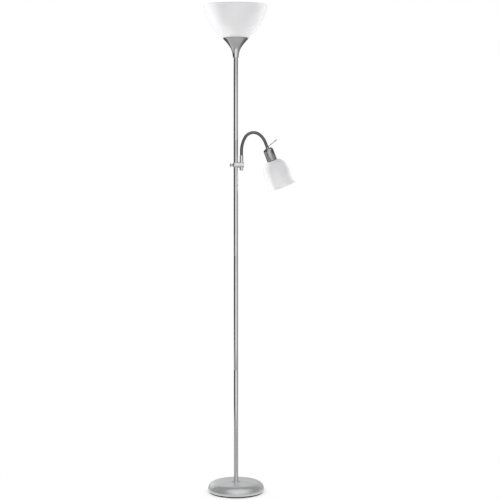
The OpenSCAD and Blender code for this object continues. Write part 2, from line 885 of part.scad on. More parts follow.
module hose_nut() color(brass)
    at_head()
        translate([0, 0, cap_wall])
            hex_nut(thread_r + seat_gap);

// The metal cap over the reading lampholder, open below
module reading_cap() color(gunmetal)
    at_head()
        difference() {
            rotate_extrude($fn = 96)
                polygon(concat(
                    [[cap_hole_r, cap_wall], [cap_hole_r, 0]],
                    arc_points(cap_r - cap_round, cap_round, cap_round, cap_round, -90, 0, 10),
                    [[cap_r, cap_h], [cap_r - cap_wall, cap_h]],
                    arc_points(
                        cap_r - cap_round, cap_round, cap_round - cap_wall, cap_round - cap_wall, 0, -90, 10
                    )
                ));
            translate([0, housing_y, -1])
                cylinder(r = housing_r + seat_gap, h = cap_round, $fn = 48);
            cap_screw_hole(cap_screw_r + pass_gap / 5);
        }

// A hole from the cap's front into the lampholder
module cap_screw_hole(r)
    translate([0, 0, cap_screw_z])
        rotate([90, 0, -cap_screw_turn])
            translate([0, 0, reader_r - cap_screw_bite])
                cylinder(r = r, h = cap_r, $fn = 32);

module cap_screw() color(chrome)
    at_head()
        translate([0, 0, cap_screw_z])
            rotate([90, 0, -cap_screw_turn]) {
                translate([0, 0, reader_r - cap_screw_bite])
                    cylinder(r = cap_screw_r, h = cap_r - reader_r + cap_screw_bite + 0.5, $fn = 32);
                translate([0, 0, cap_r])
                    cylinder(r = cap_screw_head_r, h = cap_screw_head_t, $fn = 32);
            }

module reading_lampholder() color(black)
    at_head()
        difference() {
            rotate_extrude($fn = 96)
                polygon([
                    [thread_r + seat_gap, reader_z], [reader_neck_r, reader_z],
                    [reader_neck_r, reader_z + reader_neck_h],
                    [reader_r, reader_z + reader_neck_h + reader_cone_h],
                    [reader_r, cap_h + seat_gap], [cap_r, cap_h + seat_gap], [cap_r, bell_z - seat_gap],
                    [reader_skirt_r, bell_z - seat_gap],
                    [reader_skirt_r, bell_z + reader_skirt_h], [reader_socket_r, bell_z + reader_skirt_h],
                    [reader_socket_r, reader_socket_z], [thread_r + seat_gap, reader_socket_z]
                ]);
            cap_screw_hole(cap_screw_r + seat_gap);
        }

module reading_ring() color(black)
    at_head()
        translate([0, 0, bell_z + bell_wall + seat_gap])
            rotate_extrude($fn = 96)
                polygon([
                    [reader_skirt_r + seat_gap, 0], [cap_r - 0.4, 0], [cap_r - 0.4, bell_ring_h - 1.5],
                    [cap_r - 1.9, bell_ring_h], [reader_skirt_r + seat_gap, bell_ring_h]
                ]);

// The reading shade: a bell with a slight neck above its flared lip
module reading_shade() color(opal) {
    bell_r = bell_d / 2;
    waist = bell_waist_at * bell_h;
    bend = (bell_waist_at + bell_flare_at) / 2 * bell_h;
    dome = curve([
        [cap_r + bell_top_rim, 0], [bell_r * bell_top_reach, bell_top_fall],
        [bell_r, bell_full_at * bell_h], [bell_r, waist]
    ], 12);
    flare = curve([
        [bell_r, waist], [bell_r, bend], [bell_r - bell_flare_in, bell_flare_at * bell_h], [lip_d / 2, bell_h]
    ], 9);
    body = concat(dome, [for (i = [1 : len(flare) - 1]) flare[i]]);
    inner = [for (p = beside(body, bell_wall)) if (p.y > 1.5 * bell_wall) [p.x, min(p.y, bell_h)]];
    at_head()
        translate([0, 0, bell_z])
            rotate_extrude($fn = 128)
                polygon(concat(
                    [[bell_hole_r, 0]], body, [[lip_d / 2 - bell_wall / 2, bell_h + bell_lip_drop]],
                    reversed(inner), [[cap_r + bell_wall / 2, bell_wall], [bell_hole_r, bell_wall]]
                ));
}

module reading_bulb() color(opal)
    at_head()
        translate([0, 0, reader_socket_z + 1])
            bulb(
                small_base_r, small_base_len, small_base_r + 0.2, small_bulb_r,
                small_bulb_len - small_bulb_r
            );

// The spindle's frame: its own +Z runs out along it
module at_spindle()
    at_head()
        translate([0, housing_y, -spindle_up])
            rotate([0, -90 - spindle_rise, 0])
                children();

module switch_housing() color(gunmetal)
    difference() {
        at_head()
            translate([0, housing_y, -housing_up])
                cylinder(r = housing_r, h = housing_up + housing_down, $fn = 64);
        at_spindle()
            translate([0, 0, -spindle_in - seat_play])
                cylinder(r = spindle_r + turn_gap, h = spindle_len, $fn = 48);
    }

// Turning spindle of the reading light's switch, with a thicker tip
module switch_spindle() color(gunmetal)
    at_spindle()
        rotate_extrude($fn = 48)
            polygon([
                [0, -spindle_in], [spindle_r, -spindle_in],
                [spindle_r, housing_r + spindle_len - spindle_tip_len],
                [spindle_tip_r, housing_r + spindle_len - spindle_tip_len + 0.8],
                [spindle_tip_r, housing_r + spindle_len - 1],
                [spindle_tip_r - 1, housing_r + spindle_len], [0, housing_r + spindle_len]
            ]);

base_pad();
base_weight();
base_cover();
cord_grommet();
foot_stud();
foot_washer();
foot_nut();
foot_insert();
pole_collar();
pole_tube_1();
pole_tube_2();
pole_tube_3();
pole_tube_4();
pole_joiner_1();
pole_joiner_2();
pole_joiner_3();
pole_lead();
top_insert();
uplight_cup();
uplight_nipple();
uplight_nut();
uplight_lampholder();
uplight_ring();
uplight_shade();
uplight_bulb();
clamp_block();
arm_sleeve();
sleeve_plug();
clamp_screw();
arm_lead();
gooseneck_1();
gooseneck_2();
gooseneck_3();
gooseneck_4();
gooseneck_5();
hose_nipple();
hose_nut();
reading_cap();
cap_screw();
reading_lampholder();
reading_ring();
reading_shade();
reading_bulb();
switch_housing();
switch_spindle();
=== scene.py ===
import bmesh
import bpy
import json
import math
from mathutils import Matrix, Vector
from mathutils.geometry import interpolate_bezier


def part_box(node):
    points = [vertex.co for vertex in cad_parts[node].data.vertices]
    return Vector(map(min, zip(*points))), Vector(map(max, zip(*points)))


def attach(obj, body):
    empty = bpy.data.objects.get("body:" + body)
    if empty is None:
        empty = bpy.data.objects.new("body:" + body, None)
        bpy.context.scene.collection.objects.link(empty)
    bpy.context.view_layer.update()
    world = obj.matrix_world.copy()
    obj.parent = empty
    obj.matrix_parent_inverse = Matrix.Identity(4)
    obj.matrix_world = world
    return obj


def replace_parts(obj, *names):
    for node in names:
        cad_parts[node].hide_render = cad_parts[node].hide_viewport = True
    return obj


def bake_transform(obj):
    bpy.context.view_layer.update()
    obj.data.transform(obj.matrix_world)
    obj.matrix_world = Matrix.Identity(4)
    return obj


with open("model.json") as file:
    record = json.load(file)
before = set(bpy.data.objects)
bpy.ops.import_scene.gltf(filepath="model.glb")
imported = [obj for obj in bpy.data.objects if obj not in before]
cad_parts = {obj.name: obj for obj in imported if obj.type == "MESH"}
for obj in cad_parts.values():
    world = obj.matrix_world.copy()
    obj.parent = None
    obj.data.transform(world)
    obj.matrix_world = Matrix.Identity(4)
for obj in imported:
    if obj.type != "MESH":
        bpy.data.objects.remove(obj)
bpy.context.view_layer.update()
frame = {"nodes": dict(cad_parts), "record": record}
cad = frame["nodes"]
MM = 0.001
NOISE_SPAN = (0.3, 0.7)


# Finishes

def finish(name):
    """A new material with its shader and a reader of Object coordinates in metres."""
    material = bpy.data.materials.new(name)
    material.use_nodes = True
    nodes = material.node_tree.nodes
    shader = nodes["Principled BSDF"]
    place = nodes.new("ShaderNodeTexCoord").outputs["Object"]
    return material, nodes, material.node_tree.links, shader, place


def grain(nodes, links, place, size, detail=2.0):
    """Noise whose grains are about size metres across."""
    mapping = nodes.new("ShaderNodeMapping")
    mapping.inputs["Scale"].default_value = [1 / size] * 3
    noise = nodes.new("ShaderNodeTexNoise")
    noise.inputs["Scale"].default_value = 1.0
    noise.inputs["Detail"].default_value = detail
    links.new(place, mapping.inputs["Vector"])
    links.new(mapping.outputs["Vector"], noise.inputs["Vector"])
    return noise.outputs["Fac"]


def spread(nodes, links, value, low, high):
    """A noise value, moved from the span that noise mostly fills onto low to high."""
    ranged = nodes.new("ShaderNodeMapRange")
    ranged.inputs["From Min"].default_value = NOISE_SPAN[0]
    ranged.inputs["From Max"].default_value = NOISE_SPAN[1]
    ranged.inputs["To Min"].default_value = low
    ranged.inputs["To Max"].default_value = high
    links.new(value, ranged.inputs["Value"])
    return ranged.outputs["Result"]


def tint(nodes, links, value, dark, light):
    """Two colours mixed by a value."""
    mix = nodes.new("ShaderNodeMix")
    mix.data_type = "RGBA"
    mix.inputs["A"].default_value = (*dark, 1)
    mix.inputs["B"].default_value = (*light, 1)
    links.new(value, mix.inputs["Factor"])
    return mix.outputs["Result"]


def relief(nodes, links, height, depth, strength=1.0):
    """A bump of that depth in metres."""
    bump = nodes.new("ShaderNodeBump")
    bump.inputs["Distance"].default_value = depth
    bump.inputs["Strength"].default_value = strength
    links.new(height, bump.inputs["Height"])
    return bump.outputs["Normal"]


def silver_paint():
    """Satin silver paint: fine metal flakes under a soft, slightly uneven gloss."""
    material, nodes, links, shader, place = finish("silver_paint")
    flakes = spread(nodes, links, grain(nodes, links, place, 0.0004, detail=1), 0, 1)
    links.new(tint(nodes, links, flakes, (0.62, 0.625, 0.63), (0.70, 0.705, 0.71)),
              shader.inputs["Base Color"])
    cloud = grain(nodes, links, place, 0.03)
    links.new(spread(nodes, links, cloud, 0.3, 0.36), shader.inputs["Roughness"])
    peel = grain(nodes, links, place, 0.004, detail=1)
    links.new(relief(nodes, links, peel, 0.00001, 0.4), shader.inputs["Normal"])
    shader.inputs["Metallic"].default_value = 0.7
    return material


def metal(name, dark, light, low, high, size=0.004, depth=0.0):
    """Bare or plated metal whose polish varies a little."""
    material, nodes, links, shader, place = finish(name)
    polish = grain(nodes, links, place, size, detail=4)
    links.new(tint(nodes, links, spread(nodes, links, polish, 0, 1), dark, light),
              shader.inputs["Base Color"])
    links.new(spread(nodes, links, polish, low, high), shader.inputs["Roughness"])
    if depth:
        links.new(relief(nodes, links, polish, depth), shader.inputs["Normal"])
    shader.inputs["Metallic"].default_value = 1.0
    return material


def plastic(name, dark, light, low, high, size, depth, specular=0.5):
    """Moulded plastic or rubber with a fine texture."""
    material, nodes, links, shader, place = finish(name)
    skin = grain(nodes, links, place, size, detail=3)
    links.new(tint(nodes, links, spread(nodes, links, skin, 0, 1), dark, light), shader.inputs["Base Color"])
    links.new(spread(nodes, links, skin, low, high), shader.inputs["Roughness"])
    links.new(relief(nodes, links, skin, depth), shader.inputs["Normal"])
    shader.inputs["Specular IOR Level"].default_value = specular
    return material


def opal(name, low, high, scatter):
    """Opal white: milky through its wall, with a soft gloss and faint clouding."""
    material, nodes, links, shader, place = finish(name)
    cloud = grain(nodes, links, place, 0.05, detail=3)
    links.new(tint(nodes, links, spread(nodes, links, cloud, 0, 1), (0.80, 0.80, 0.81), (0.84, 0.84, 0.845)),
              shader.inputs["Base Color"])
    etch = grain(nodes, links, place, 0.0012, detail=3)
    links.new(spread(nodes, links, etch, low, high), shader.inputs["Roughness"])
    links.new(relief(nodes, links, etch, 0.00001), shader.inputs["Normal"])
    shader.inputs["Subsurface Weight"].default_value = scatter
    shader.inputs["Subsurface Radius"].default_value = (1.0, 0.97, 0.93)
    shader.inputs["Subsurface Scale"].default_value = 0.006
    return material


FINISHES = {
    "silver_paint": silver_paint(),
    "satin_nickel": metal("satin_nickel", (0.74, 0.74, 0.745), (0.8, 0.8, 0.805), 0.17, 0.23, 0.01),
    "chrome": metal("chrome", (0.72, 0.73, 0.74), (0.82, 0.83, 0.84), 0.22, 0.3),
    "gunmetal": metal("gunmetal", (0.42, 0.42, 0.425), (0.5, 0.5, 0.505), 0.14, 0.2),
    "dark_steel": metal("dark_steel", (0.15, 0.15, 0.152), (0.19, 0.19, 0.192), 0.12, 0.18, 0.003),
    "zinc": metal("zinc", (0.5, 0.5, 0.47), (0.66, 0.66, 0.63), 0.3, 0.45, 0.002),
    "brass": metal("brass", (0.6, 0.46, 0.2), (0.72, 0.58, 0.28), 0.22, 0.35, 0.003),
    "iron": metal("iron", (0.04, 0.04, 0.042), (0.1, 0.1, 0.1), 0.55, 0.8, 0.0012, 0.0004),
    "black_rubber": plastic("black_rubber", (0.012, 0.012, 0.012), (0.03, 0.03, 0.03),
                            0.55, 0.75, 0.0008, 0.00005, 0.3),
    "black_lead": plastic("black_lead", (0.01, 0.01, 0.011), (0.022, 0.022, 0.023),
                          0.35, 0.5, 0.002, 0.00002),
    "cream_plastic": plastic("cream_plastic", (0.74, 0.71, 0.62), (0.8, 0.77, 0.69),
                             0.35, 0.5, 0.0015, 0.00002),
    "black_plastic": plastic("black_plastic", (0.015, 0.015, 0.015), (0.03, 0.03, 0.03),
                             0.3, 0.42, 0.0015, 0.00002),
    "opal_plastic": opal("opal_plastic", 0.24, 0.36, 0.35),
    "opal_glass": opal("opal_glass", 0.1, 0.18, 0.25),
}

for row in frame["record"]["subparts"]:
    node_mesh = cad[row["node"]].data
    node_mesh.materials.clear()
    node_mesh.materials.append(FINISHES[row["material_slot"]])


# Making pieces

def in_scene(name, data):
    """A new object with that data, linked to the scene."""
    made = bpy.data.objects.new(name, data)
    bpy.context.scene.collection.objects.link(made)
    return made


def place_on_axis(origin, direction, side):
    """The matrix that puts local +Z along direction and local +X towards side, at a place in millimetres."""
    z = Vector(direction).normalized()
    x = (Vector(side) - z * Vector(side).dot(z)).normalized()
    turn = Matrix((x, z.cross(x), z)).transposed().to_4x4()
    return Matrix.Translation(Vector(origin) * MM) @ turn


def settle(name, mesh, body, slot, matrix=None, smooth=40):
    """Links a finished bmesh in metres as a piece, which rides on a body unless that is None.

    Edges that turn by less than smooth degrees are shaded smooth.
    """
    bmesh.ops.remove_doubles(mesh, verts=mesh.verts, dist=1e-6)
    bmesh.ops.recalc_face_normals(mesh, faces=mesh.faces)
    if matrix is not None:
        mesh.transform(matrix)
    for face in mesh.faces:
        face.smooth = True
    for edge in mesh.edges:
        edge.smooth = edge.calc_face_angle(0) < math.radians(smooth)
    data = bpy.data.meshes.new(name)
    mesh.to_mesh(data)
    mesh.free()
    data.materials.append(FINISHES[slot])
    piece = in_scene(name, data)
    if body is not None:
        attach(piece, body)
    return piece


def outline(mesh, points, closed, rounding=()):
    """Draws an outline in the XZ plane, in millimetres, and rounds the corners listed as {index: radius}."""
    corners = [mesh.verts.new((x * MM, 0, z * MM)) for x, z in points]
    last = len(corners) if closed else len(corners) - 1
    for i in range(last):
        mesh.edges.new((corners[i], corners[(i + 1) % len(corners)]))
    for i, radius in dict(rounding).items():
        bmesh.ops.bevel(mesh, geom=[corners[i]], offset=radius * MM, segments=4, profile=0.5,
                        affect="VERTICES", material=-1)


def spun(mesh, steps):
    """Turns all that is drawn once round the Z axis."""
    bmesh.ops.spin(mesh, geom=mesh.verts[:] + mesh.edges[:], cent=(0, 0, 0), axis=(0, 0, 1),
                   angle=math.tau, steps=steps, use_merge=True)


def turned(name, points, body, slot, matrix=None, closed=True, rounding=(), steps=96):
    """A piece turned on its local Z axis from an outline."""
    mesh = bmesh.new()
    outline(mesh, points, closed, rounding)
    spun(mesh, steps)
    return settle(name, mesh, body, slot, matrix)


def bent(start, first_handle, last_handle, end, count):
    """Points along a Bezier curve in the outline plane, the ends included."""
    knots = [Vector((*p, 0)) for p in (start, first_handle, last_handle, end)]
    return [(p.x, p.y) for p in interpolate_bezier(*knots, count)]


def sheet_wall(piece, wall):
    """Gives a turned skin its sheet thickness in millimetres, inwards, with broken edges."""
    sheet = piece.modifiers.new("sheet", "SOLIDIFY")
    sheet.thickness = wall * MM
    sheet.offset = -1
    edge = piece.modifiers.new("edge", "BEVEL")
    edge.width = 0.25 * wall * MM
    edge.segments = 2
    edge.limit_method = "ANGLE"
    edge.angle_limit = math.radians(50)


def wound(mesh, low, high, pitch, root, crest, sharpness):
    """Raises a winding on the skin of a straight piece between two heights, in millimetres."""
    for vert in mesh.verts:
        height = vert.co.z / MM
        radius = math.hypot(vert.co.x, vert.co.y)
        if low < height < high and radius > 0:
            turn = math.atan2(vert.co.y, vert.co.x) / math.tau
            wave = abs(math.sin(math.pi * (height / pitch - turn)))
            size = (root + (crest - root) * wave ** sharpness) * MM / radius
            vert.co.x, vert.co.y = vert.co.x * size, vert.co.y * size


def grooved(points, low, high, pitch, depth):
    """Adds the grooves of a thread to a straight side of an outline, as points from low to high."""
    radius, height = points[-1]
    count = round((high - low) / pitch)
    for i in range(count):
        step = low + (high - low) * i / count
        points += [(radius, step + 0.1), (radius, step + pitch * 0.45),
                   (radius - depth, step + pitch * 0.72)]
    return points


def shifted(points, distance):
    """An outline moved to its left by a distance."""
    moved = []
    for i, point in enumerate(points):
        before, after = Vector(points[max(i - 1, 0)]), Vector(points[min(i + 1, len(points) - 1)])
        along = (after - before).normalized()
        moved.append((point[0] - along.y * distance, point[1] + along.x * distance))
    return moved


# The camera: it stands in front of the lamp, a little to the side away from the arm, and looks
# slightly down

STAND_TURN = math.radians(12)
LOOK_DOWN = math.radians(4.025)
STAND_BACK, STAND_SIDE, STAND_HEIGHT = 5.12, 0.052, 1.265
camera_data = bpy.data.cameras.new("camera")
camera = in_scene("camera", camera_data)
ahead = Vector((math.sin(STAND_TURN), math.cos(STAND_TURN), 0))
rightward = Vector((math.cos(STAND_TURN), -math.sin(STAND_TURN), 0))
camera.location = -STAND_BACK * ahead + STAND_SIDE * rightward + Vector((0, 0, STAND_HEIGHT))
camera.rotation_euler = (math.pi / 2 - LOOK_DOWN, 0, -STAND_TURN)
camera_data.sensor_width = 36
camera_data.lens = 100.14
bpy.context.scene.camera = camera


# Floor, world and lamps

def ramp_of(nodes, links, value, low, high, stops):
    """Grey levels by a value: stops are (value, level), between low and high."""
    ranged = nodes.new("ShaderNodeMapRange")
    ranged.inputs["From Min"].default_value = low
    ranged.inputs["From Max"].default_value = high
    links.new(value, ranged.inputs["Value"])
    ramp = nodes.new("ShaderNodeValToRGB")
    while len(ramp.color_ramp.elements) < len(stops):
        ramp.color_ramp.elements.new(0.5)
    for element, (at, level) in zip(ramp.color_ramp.elements, stops):
        element.position = (at - low) / (high - low)
        element.color = (level, level, level, 1)
    links.new(ranged.outputs["Result"], ramp.inputs["Fac"])
    return ramp.outputs["Color"]


def joined(nodes, links, operation, first, second):
    """Two values joined by one operation."""
    node = nodes.new("ShaderNodeMath")
    node.operation = operation
    for socket, value in zip(node.inputs, (first, second)):
        if isinstance(value, (int, float)):
            socket.default_value = value
        else:
            links.new(value, socket)
    return node.outputs["Value"]


FLOOR_REACH = 1.5
GLOSS_SHARE = 0.9


def studio_floor():
    """A pale floor, plain white to the camera further out. Close round the base its white share falls away,
    so a ring of floor there shows darker: painted shade, on top of the lamp's real shadow.

    In gloss it is bright close to the base and grey further out.
    """
    mesh = bmesh.new()
    bmesh.ops.create_grid(mesh, x_segments=1, y_segments=1, size=FLOOR_REACH)
    data = bpy.data.meshes.new("studio_floor")
    mesh.to_mesh(data)
    mesh.free()
    floor = in_scene("studio_floor", data)
    material = bpy.data.materials.new("studio_floor")
    material.use_nodes = True
    nodes, links = material.node_tree.nodes, material.node_tree.links
    nodes.remove(nodes["Principled BSDF"])
    matt = nodes.new("ShaderNodeBsdfDiffuse")
    matt.inputs["Color"].default_value = (0.86, 0.86, 0.86, 1)
    white = nodes.new("ShaderNodeEmission")
    length = nodes.new("ShaderNodeVectorMath")
    length.operation = "LENGTH"
    links.new(nodes.new("ShaderNodeTexCoord").outputs["Object"], length.inputs[0])
    reach = length.outputs["Value"]
    rays = nodes.new("ShaderNodeLightPath")
    # How white the floor shows to the camera, by distance: plain white further out. Close round the base the
    # share falls to nothing, so only the matt floor and its real shadow show there. This is painted shade.
    white_share_with_painted_shade = ramp_of(nodes, links, reach, 0, 2, [
        (0.098, 0.0), (0.107, 0.4), (0.125, 0.87), (0.45, 0.97), (0.9, 1.0)])
    mirrored = ramp_of(nodes, links, reach, 0, 2, [
        (0.1, 0.95), (0.13, 0.9), (0.18, 0.42), (1.5, 0.36)])
    colour = nodes.new("ShaderNodeMix")
    colour.data_type = "RGBA"
    colour.inputs["B"].default_value = (1, 1, 1, 1)
    links.new(rays.outputs["Is Camera Ray"], colour.inputs["Factor"])
    links.new(mirrored, colour.inputs["A"])
    links.new(colour.outputs["Result"], white.inputs["Color"])
    camera_share = joined(nodes, links, "MULTIPLY", rays.outputs["Is Camera Ray"], white_share_with_painted_shade)
    gloss_share = joined(nodes, links, "MULTIPLY", rays.outputs["Is Glossy Ray"], GLOSS_SHARE)
    share = joined(nodes, links, "ADD", camera_share, gloss_share)
    mix = nodes.new("ShaderNodeMixShader")
    links.new(share, mix.inputs["Fac"])
    links.new(matt.outputs["BSDF"], mix.inputs[1])
    links.new(white.outputs["Emission"], mix.inputs[2])
    links.new(mix.outputs["Shader"], nodes["Material Output"].inputs["Surface"])
    data.materials.append(material)


def studio_world():
    """White for the camera. For gloss, a room: bright in front, dark on the left, grey on the right,
    with a dim sky that is bright above the front and at the left back.
    """
    world = bpy.data.worlds.new("studio_world")
    world.use_nodes = True
    nodes, links = world.node_tree.nodes, world.node_tree.links
    background = nodes["Background"]
    direction = nodes.new("ShaderNodeTexCoord").outputs["Generated"]

    def along(vector):
        dot = nodes.new("ShaderNodeVectorMath")
        dot.operation = "DOT_PRODUCT"
        dot.inputs[1].default_value = vector
        links.new(direction, dot.inputs[0])
        return dot.outputs["Value"]

    def mixed(share, first, second):
        mix = nodes.new("ShaderNodeMix")
        mix.data_type = "RGBA"
        links.new(share, mix.inputs["Factor"])
        links.new(first, mix.inputs["A"])
        links.new(second, mix.inputs["B"])
        return mix.outputs["Result"]

    turn = joined(nodes, links, "ARCTAN2", along(-rightward), along(-ahead))
    degrees = joined(nodes, links, "MULTIPLY", turn, 180 / math.pi)
    walls = ramp_of(nodes, links, degrees, -180, 180, [
        (-180, 0.12), (-150, 0.3), (-110, 0.32), (-62, 0.4), (-38, 0.6), (-26, 1.0), (12, 1.0),
        (30, 0.55), (46, 0.25), (58, 0.05), (138, 0.03), (180, 0.05)])
    ground = ramp_of(nodes, links, degrees, -180, 180, [
        (-180, 0.1), (-140, 0.12), (-110, 0.25), (-60, 0.45), (-30, 0.9), (26, 1.0), (38, 0.3),
        (50, 0.12), (60, 0.15), (68, 0.6), (118, 0.6), (130, 0.08), (180, 0.05)])
    rise = along((0, 0, 1))
    above_front = 0.183 * rightward - 0.683 * ahead + Vector((0, 0, 0.707))
    front_lit = ramp_of(nodes, links, along(above_front), 0, 1, [
        (0.0, 0.0), (0.6, 0.05), (0.8, 0.6), (0.93, 0.9)])
    left_back = -0.489 * rightward + 0.847 * ahead + Vector((0, 0, 0.208))
    left_lit = ramp_of(nodes, links, along(left_back), 0, 1, [(0.0, 0.0), (0.86, 0.0), (0.96, 0.5)])
    sky = ramp_of(nodes, links, along(-ahead), -1, 1, [
        (-0.98, 0.6), (-0.8, 0.42), (-0.45, 0.1), (1.0, 0.1)])
    sky = joined(nodes, links, "ADD", joined(nodes, links, "ADD", sky, front_lit), left_lit)
    lower = mixed(ramp_of(nodes, links, rise, -1, 1, [(-0.3, 1), (-0.18, 0)]), walls, ground)
    room = mixed(ramp_of(nodes, links, rise, -1, 1, [(0.085, 0), (0.15, 1)]), lower, sky)
    rays = nodes.new("ShaderNodeLightPath")
    gloss = nodes.new("ShaderNodeMix")
    gloss.data_type = "RGBA"
    gloss.inputs["A"].default_value = (0.66, 0.66, 0.665, 1)
    links.new(rays.outputs["Is Glossy Ray"], gloss.inputs["Factor"])
    links.new(room, gloss.inputs["B"])
    view = nodes.new("ShaderNodeMix")
    view.data_type = "RGBA"
    view.inputs["B"].default_value = (1, 1, 1, 1)
    links.new(rays.outputs["Is Camera Ray"], view.inputs["Factor"])
    links.new(gloss.outputs["Result"], view.inputs["A"])
    links.new(view.outputs["Result"], background.inputs["Color"])
    bpy.context.scene.world = world


def softbox(name, place, aim, width, height, power):
    """An area lamp that lights matt surfaces and shows neither in gloss nor to the camera."""
    data = bpy.data.lights.new(name, "AREA")
    data.shape = "RECTANGLE"
    data.size, data.size_y, data.energy = width, height, power
    lamp = in_scene(name, data)
    lamp.location = place
    lamp.rotation_euler = (Vector(aim) - Vector(place)).to_track_quat("-Z", "Y").to_euler()
    lamp.visible_glossy = False
    lamp.visible_camera = False


studio_floor()
studio_world()
MIDDLE = Vector((0, 0, 1.2))
softbox("left_box", MIDDLE - 2.0 * rightward + 1.06 * ahead, MIDDLE, 0.3, 2.6, 62)
softbox("right_box", MIDDLE + 1.8 * rightward + 1.45 * ahead, MIDDLE, 0.5, 2.6, 62)
softbox("front_box", MIDDLE - 2.2 * ahead + Vector((0, 0, 0.1)), MIDDLE, 1.6, 1.6, 8)
bpy.context.scene.view_settings.view_transform = "Standard"


# Sizes that several pieces share, in millimetres

POLE_R, POLE_BORE_R = 8, 7.1
THREAD_BORE_R = 5.05
SHADE_WALL = 2.2
HOSE_R, LEAD_R = 5.6, 2.2
CAP_R, CAP_TALL = 18.6, 47


# Base

def base_pieces():
    low, high = [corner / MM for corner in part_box("base_cover")]
    edge, crown, shoulder = high.x, high.z, high.x - 26
    fall, widest = 1.6, 10
    top = [(r, crown - fall * (r / shoulder) ** 2) for r in (5.5, 20, 40, 60)]
    drop = crown - fall
    round_off = bent((shoulder, drop), (shoulder + 14.4, drop - 0.6), (edge, widest + 15.1),
                     (edge, widest), 18)
    lip = bent((edge, widest), (edge, widest - 3), (edge - 2, low.z + 0.6), (edge - 4.5, low.z), 8)
    cover = turned("base_dish", top + round_off[:-1] + lip, "stand", "silver_paint", closed=False, steps=160)
    sheet_wall(cover, 1.2)
    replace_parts(cover, "base_cover")

    foot = crown + 2.4
    bore = POLE_R + 0.06
    ring = [(bore, crown), (16, crown), (16, foot - 0.4), (13.6, foot), (bore, foot)]
    collar = turned("foot_collar", ring, "stand", "silver_paint", rounding={2: 0.5, 3: 0.6, 4: 0.3})
    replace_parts(collar, "pole_collar")


# Pole: each tube's ends are rounded over, so that a fine dark line shows at the joint

def pole_pieces():
    for number in range(1, 5):
        low, high = (corner.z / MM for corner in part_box(f"pole_tube_{number}"))
        wall = [(POLE_BORE_R, low), (POLE_R, low), (POLE_R, high), (POLE_BORE_R, high)]
        tube = turned(f"pole_section_{number}", wall, "stand", "satin_nickel",
                      rounding={1: 0.45, 2: 0.45}, steps=64)
        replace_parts(tube, f"pole_tube_{number}")


# Uplighter

BOWL_FOOT = 1680.3


def uplighter_pieces():
    foot = BOWL_FOOT
    flare = bent((9.5, foot - 70.35), (9.5, foot - 40.8), (22.2, foot - 26), (46.2, foot - 0.3), 24)
    cup = turned("trumpet_cup", flare, "stand", "satin_nickel", closed=False, steps=128)
    sheet_wall(cup, 1.4)
    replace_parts(cup, "uplight_cup")

    bowl_outside = bowl_line()
    rim = [(115.1, 1795.4), (116, 1796.4), (116, 1799.2), (115.2, 1800), (112.9, 1800)]
    inside = [p for p in reversed(shifted(bowl_outside, SHADE_WALL)) if foot + 3.1 < p[1] < 1798]
    floor = [(43, foot + SHADE_WALL), (20.1, foot + SHADE_WALL)]
    bowl = turned("uplight_bowl", [(20.1, foot), (43, foot)] + bowl_outside[:-1] + rim + inside + floor,
                  "stand", "opal_plastic", steps=160)
    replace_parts(bowl, "uplight_shade")

    holder = [(THREAD_BORE_R, foot - 25.7), (8, foot - 25.7), (8, foot - 17.7), (19.8, foot - 5.7),
              (19.8, foot - 2.05), (26, foot - 2.05), (26, foot - 0.05), (19.2, foot - 0.05)]
    holder = grooved(holder, foot, foot + 15, 2.5, 0.8)
    holder += [(19.2, foot + 16), (18.4, foot + 17), (13.6, foot + 17), (13.6, foot - 14),
               (THREAD_BORE_R, foot - 14)]
    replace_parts(turned("upper_holder", holder, "stand", "cream_plastic"), "uplight_lampholder")
    ring = grip_ring("upper_holder_ring", 19.85, 27, foot + 2.25, 9, "stand", "cream_plastic", None)
    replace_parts(ring, "uplight_ring")
    bulb_pieces("upper", "uplight_bulb", foot - 13, 13, 26, 30, 104, 3.6, "stand", None)


GRIPS, GRIP_DEPTH = 24, 0.022


def grip_ring(name, bore, reach, start, height, body, slot, matrix):
    """The ring that clamps a shade on its lampholder, with finger grips round it."""
    ring = [(bore, start), (reach, start), (reach, start + height - 2), (reach - 2, start + height),
            (bore + 0.6, start + height), (bore, start + height - 0.6)]
    mesh = bmesh.new()
    outline(mesh, ring, True, {1: 0.4, 2: 0.8})
    spun(mesh, 144)
    for vert in mesh.verts:
        radius = math.hypot(vert.co.x, vert.co.y)
        if radius > (reach - 1.2) * MM:
            turn = math.atan2(vert.co.y, vert.co.x)
            size = 1 - GRIP_DEPTH * (0.5 + 0.5 * math.cos(GRIPS * turn)) ** 3
            vert.co.x, vert.co.y = vert.co.x * size, vert.co.y * size
    return settle(name, mesh, body, slot, matrix)


def bulb_pieces(name, node, start, base_r, base_len, globe_r, length, pitch, body, matrix):
    """A bulb: smooth opal glass and a screw base with a wound thread."""
    centre, collar = length - globe_r + start, start + base_len
    neck = base_r + 0.4
    glass = bent((neck, collar), (neck, (collar + centre) / 2), (globe_r, centre - globe_r * 0.8),
                 (globe_r, centre), 20)
    glass += [(globe_r * math.cos(a), centre + globe_r * math.sin(a)) for a in
              [math.pi / 2 * i / 16 for i in range(1, 16)]] + [(0, start + length)]
    bulb = turned(f"{name}_bulb_glass", [(base_r * 0.5, collar + 0.2)] + glass, body, "opal_glass",
                  matrix, closed=False, steps=64)
    mesh = bmesh.new()
    side = [(base_r, start + 4 + (base_len - 5) * i / 48) for i in range(49)]
    cap = [(0, start), (3.2, start), (3.6, start + 0.8), (base_r * 0.62, start + 1.4)] + side
    outline(mesh, cap + [(base_r - 0.2, collar), (base_r * 0.5, collar + 0.1)], False)
    spun(mesh, 48)
    wound(mesh, start + 4.5, collar - 1.5, pitch, base_r - 0.75, base_r - 0.05, 0.8)
    settle(f"{name}_bulb_base", mesh, body, "zinc", matrix)
    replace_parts(bulb, node)


